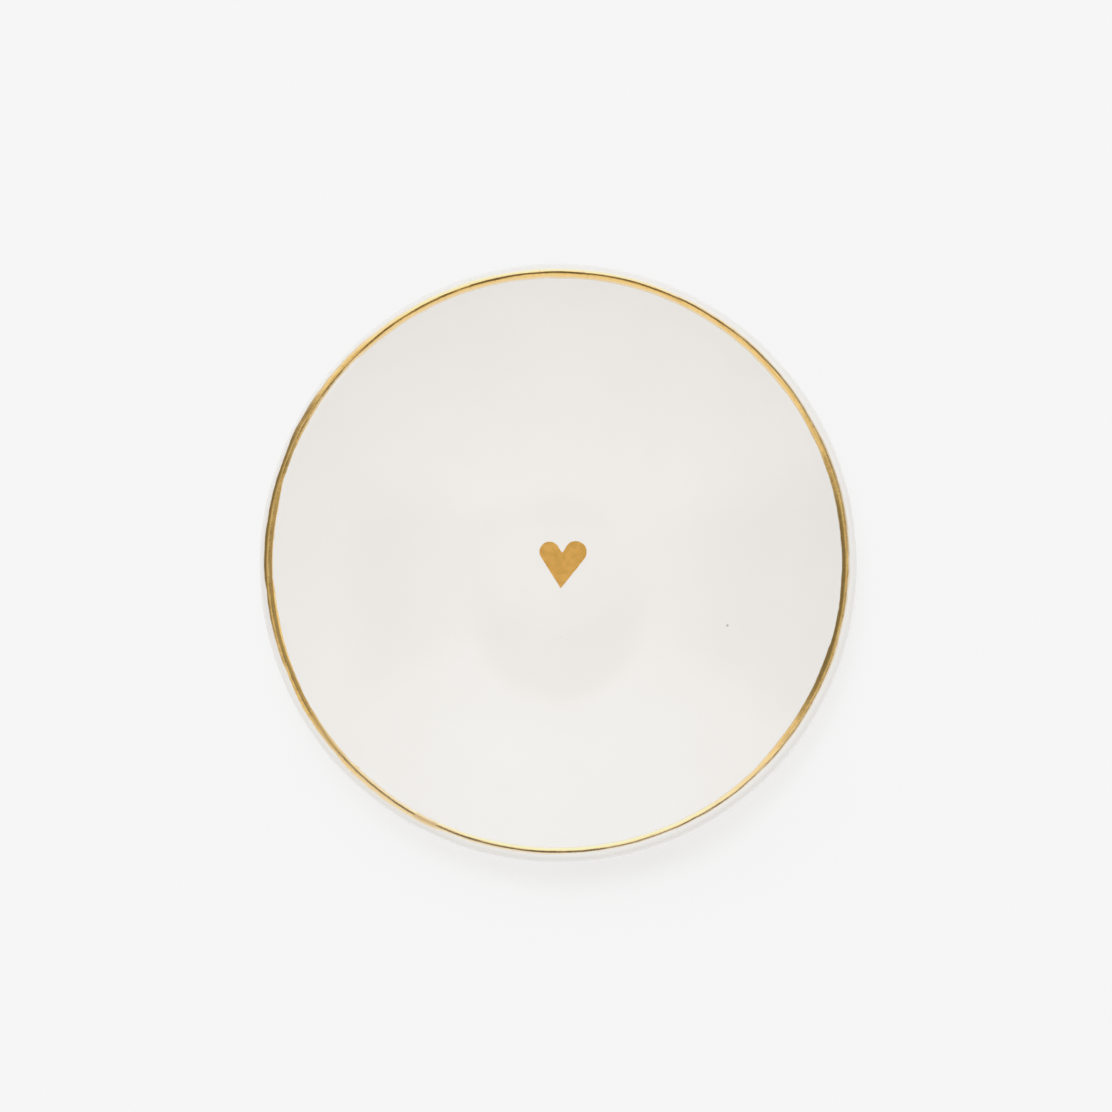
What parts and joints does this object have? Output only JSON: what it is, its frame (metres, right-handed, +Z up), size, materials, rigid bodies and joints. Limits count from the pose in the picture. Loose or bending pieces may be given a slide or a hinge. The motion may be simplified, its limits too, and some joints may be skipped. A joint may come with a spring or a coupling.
{
  "type": "trinket dish",
  "caption": "Round white porcelain trinket dish on a foot ring, with a thin gold line over the lip and a small gold heart in the well",
  "frame": {"origin": "the middle of the foot ring's standing face, on the table, on the dish's axis of revolution", "axes": "+Z up, out of the well; the gold heart's point is toward -Y and its lobes toward +Y; +X is the right of someone who reads the heart upright"},
  "size_m": [0.1, 0.1, 0.016],
  "materials": {
    "bisque": "matte",
    "clear_glaze": "gloss",
    "gold_lustre": "satin"
  },
  "bodies": {
    "root": {"porcelain_body": "bisque", "dish_glaze": "clear_glaze", "foot_well_glaze": "clear_glaze", "gold_lip_line": "gold_lustre", "gold_heart": "gold_lustre"}
  },
  "joints": []
}
